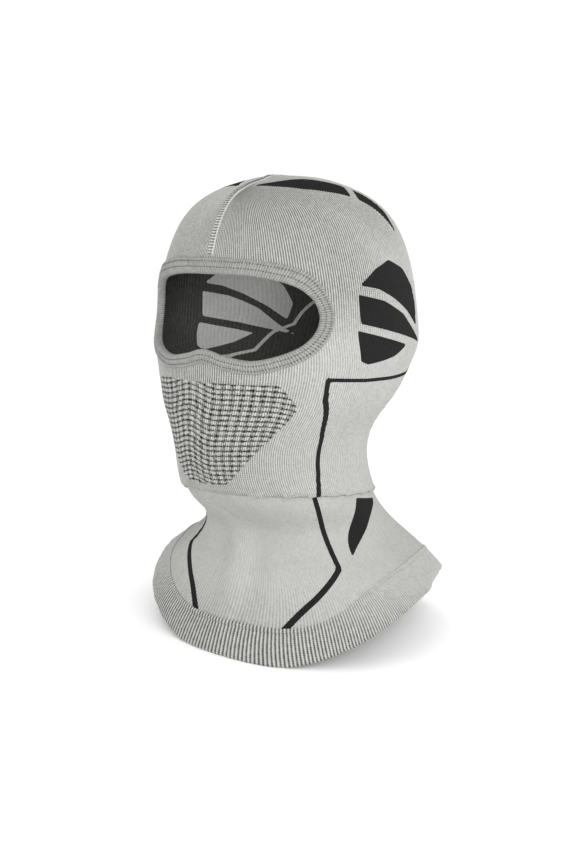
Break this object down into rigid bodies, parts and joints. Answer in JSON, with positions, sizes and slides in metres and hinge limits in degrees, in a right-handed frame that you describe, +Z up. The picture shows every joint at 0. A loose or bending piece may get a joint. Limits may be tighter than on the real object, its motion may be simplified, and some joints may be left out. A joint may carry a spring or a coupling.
{
  "type": "balaclava",
  "caption": "Knitted ski balaclava with a banded eye opening, a mesh mouth panel, a seamed crown, dark contrast inlays and a flared ribbed collar.",
  "frame": {"origin": "on the resting plane, under the middle of the garment's bounding box", "axes": "+Z up through the crown, -Y out of the eye opening, +X to the wearer's left"},
  "size_m": [0.202, 0.2102, 0.2973],
  "materials": {
    "grey_knit": "fine ribbed melange knit, matt",
    "contrast_knit": "fine ribbed knit, matt",
    "mesh_knit": "open waffle knit in two yarns, matt",
    "band_rib": "narrow cross-ribbed elastic band, matt",
    "band_stitching": "sewing thread, slight sheen",
    "seam_tape": "flatlock seam, matt",
    "seam_thread": "sewing thread, slight sheen",
    "hem_rib": "coarse ribbed knit, matt",
    "hem_lining": "fine knit reverse, matt"
  },
  "bodies": {
    "collar": {"hem_band": "hem_rib", "hem_facing": "hem_lining", "hem_welt": "hem_rib"},
    "neck": {"nape_wedge_left": "contrast_knit", "nape_wedge_right": "contrast_knit", "neck_line_lower_left": "contrast_knit", "neck_line_lower_right": "contrast_knit", "neck_line_upper_left": "contrast_knit", "neck_line_upper_right": "contrast_knit", "neck_lower": "grey_knit", "neck_upper": "grey_knit"},
    "hood": {"back_inlay_lower_left": "contrast_knit", "back_inlay_lower_right": "contrast_knit", "back_inlay_middle_left": "contrast_knit", "back_inlay_middle_right": "contrast_knit", "back_inlay_upper_left": "contrast_knit", "back_inlay_upper_right": "contrast_knit", "centre_seam": "seam_tape", "centre_seam_stitches": "seam_thread", "crown_stripe_front_left": "contrast_knit", "crown_stripe_front_right": "contrast_knit", "crown_stripe_rear_left": "contrast_knit", "crown_stripe_rear_right": "contrast_knit", "ear_line_left": "contrast_knit", "ear_line_right": "contrast_knit", "eye_band": "band_rib", "eye_band_stitches_inner": "band_stitching", "eye_band_stitches_outer": "band_stitching", "face_guard": "grey_knit", "hood_left": "grey_knit", "hood_right": "grey_knit", "mouth_mesh_panel": "mesh_knit"}
  },
  "joints": [
    {"name": "hood_turn", "type": "hinge", "parent": "collar", "child": "neck", "pos_m": [0, 0.002, 0.05], "axis": [0, 0, 1], "range_deg": [-30, 30], "stiffness_Nm_per_rad": 1.5, "deforming": ["neck_line_lower_left", "neck_line_lower_right", "neck_lower"]},
    {"name": "hood_nod", "type": "hinge", "parent": "neck", "child": "hood", "pos_m": [0, -0.006, 0.092], "axis": [1, 0, 0], "range_deg": [-18, 20], "stiffness_Nm_per_rad": 2, "deforming": ["nape_wedge_left", "nape_wedge_right", "neck_line_upper_left", "neck_line_upper_right", "neck_upper"]}
  ]
}
